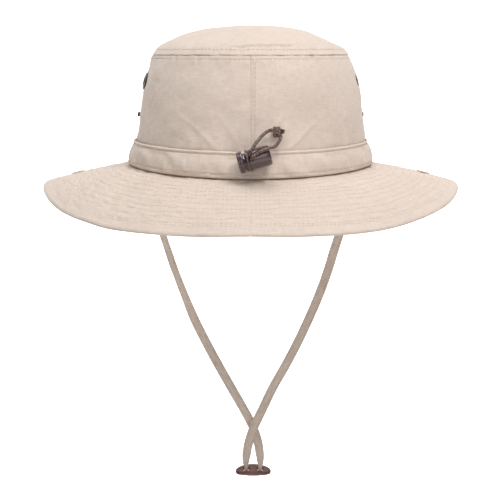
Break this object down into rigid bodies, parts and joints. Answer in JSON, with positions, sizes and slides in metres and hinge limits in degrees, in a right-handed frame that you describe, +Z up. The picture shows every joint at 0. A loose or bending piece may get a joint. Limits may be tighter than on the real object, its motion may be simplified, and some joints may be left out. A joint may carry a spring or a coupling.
{
  "type": "boonie hat",
  "caption": "Wide-brimmed soft sun hat with a stitched brim, a cord lock at the back, side vents and snaps, and a chin strap with a slider.",
  "frame": {"origin": "centre of the head opening, level with the lower edge of the crown at its sides, where the hat sits on a head", "axes": "+Z up through the crown, +Y towards the front of the hat, +X towards the wearer's right"},
  "size_m": [0.3094, 0.3322, 0.3462],
  "materials": {
    "twill": "washed sand-coloured cotton twill, matt",
    "twill_underside": "the same cotton twill on the underside of the brim",
    "interlining": "stiff woven interlining",
    "sweatband": "soft cotton sweatband",
    "seam_tape": "narrow cotton seam tape",
    "strap_tape": "folded and edge-stitched twill tape",
    "elastic_cord": "braided round elastic cord, brown with tan flecks",
    "vent_metal": "dark oxidised brass",
    "vent_mesh": "fine dark wire mesh",
    "snap_metal": "dark oxidised brass",
    "snap_lacquered": "brass lacquered to match the cloth",
    "lock_plastic": "glossy dark purple-brown moulded plastic",
    "spring_steel": "bright spring wire",
    "slider_leather": "dark red-brown leather with darker cut edges"
  },
  "bodies": {
    "hat": {"crown_tip": "twill", "crown_side_left": "twill", "crown_side_right": "twill", "tip_seam_tape": "seam_tape", "crown_seam_tape_back": "seam_tape", "crown_seam_tape_front": "seam_tape", "sweatband": "sweatband", "hatband_left": "twill", "hatband_right": "twill", "drawcord": "elastic_cord", "brim_top_left": "twill", "brim_top_right": "twill", "brim_interlining_left": "interlining", "brim_interlining_right": "interlining", "brim_bottom_left": "twill_underside", "brim_bottom_right": "twill_underside", "vent_eyelet_left_rear": "vent_metal", "vent_screen_left_rear": "vent_mesh", "vent_washer_left_rear": "vent_metal", "vent_eyelet_left_front": "vent_metal", "vent_screen_left_front": "vent_mesh", "vent_washer_left_front": "vent_metal", "vent_eyelet_right_rear": "vent_metal", "vent_screen_right_rear": "vent_mesh", "vent_washer_right_rear": "vent_metal", "vent_eyelet_right_front": "vent_metal", "vent_screen_right_front": "vent_mesh", "vent_washer_right_front": "vent_metal", "snap_stud_left": "snap_metal", "snap_post_left": "snap_lacquered", "snap_stud_right": "snap_metal", "snap_post_right": "snap_lacquered", "chin_strap_end_left": "strap_tape", "chin_strap_end_right": "strap_tape"},
    "brim_side_left": {"brim_flap_top_left": "twill", "brim_flap_interlining_left": "interlining", "brim_flap_bottom_left": "twill_underside", "snap_socket_left": "snap_lacquered", "snap_cap_left": "snap_lacquered"},
    "brim_side_right": {"brim_flap_top_right": "twill", "brim_flap_interlining_right": "interlining", "brim_flap_bottom_right": "twill_underside", "snap_socket_right": "snap_lacquered", "snap_cap_right": "snap_lacquered"},
    "cord_lock": {"cord_lock_barrel": "lock_plastic", "cord_lock_spring": "spring_steel", "drawcord_strand_left": "elastic_cord", "drawcord_strand_right": "elastic_cord", "drawcord_knot": "elastic_cord"},
    "lock_plunger": {"cord_lock_plunger": "lock_plastic"},
    "chin_strap": {"chin_strap": "strap_tape"},
    "strap_slider": {"strap_slider": "slider_leather"}
  },
  "joints": [
    {"name": "brim_fold_left", "type": "hinge", "parent": "hat", "child": "brim_side_left", "pos_m": [-0.0945, 0, -0.0012], "axis": [0, 1, 0], "range_deg": [0, 114.2]},
    {"name": "brim_fold_right", "type": "hinge", "parent": "hat", "child": "brim_side_right", "pos_m": [0.0945, 0, -0.0012], "axis": [0, -1, 0], "range_deg": [0, 114.2]},
    {"name": "lock_pull", "type": "slide", "parent": "hat", "child": "cord_lock", "axis": [0, -1, 0], "range_m": [0, 0.012], "stiffness_N_per_m": 300, "deforming": ["drawcord_strand_left", "drawcord_strand_right"]},
    {"name": "plunger_press", "type": "slide", "parent": "cord_lock", "child": "lock_plunger", "axis": [0.9659, 0, 0.2588], "range_m": [0, 0.0015], "stiffness_N_per_m": 600, "springref_m": -0.002, "deforming": ["cord_lock_spring"]},
    {"name": "strap_swing", "type": "hinge", "parent": "hat", "child": "chin_strap", "pos_m": [0, 0, -0.0015], "axis": [1, 0, 0], "range_deg": [-60, 60]},
    {"name": "slider_slide", "type": "slide", "parent": "chin_strap", "child": "strap_slider", "axis": [0, 0, 1], "range_m": [0, 0.1], "deforming": ["chin_strap"]}
  ]
}
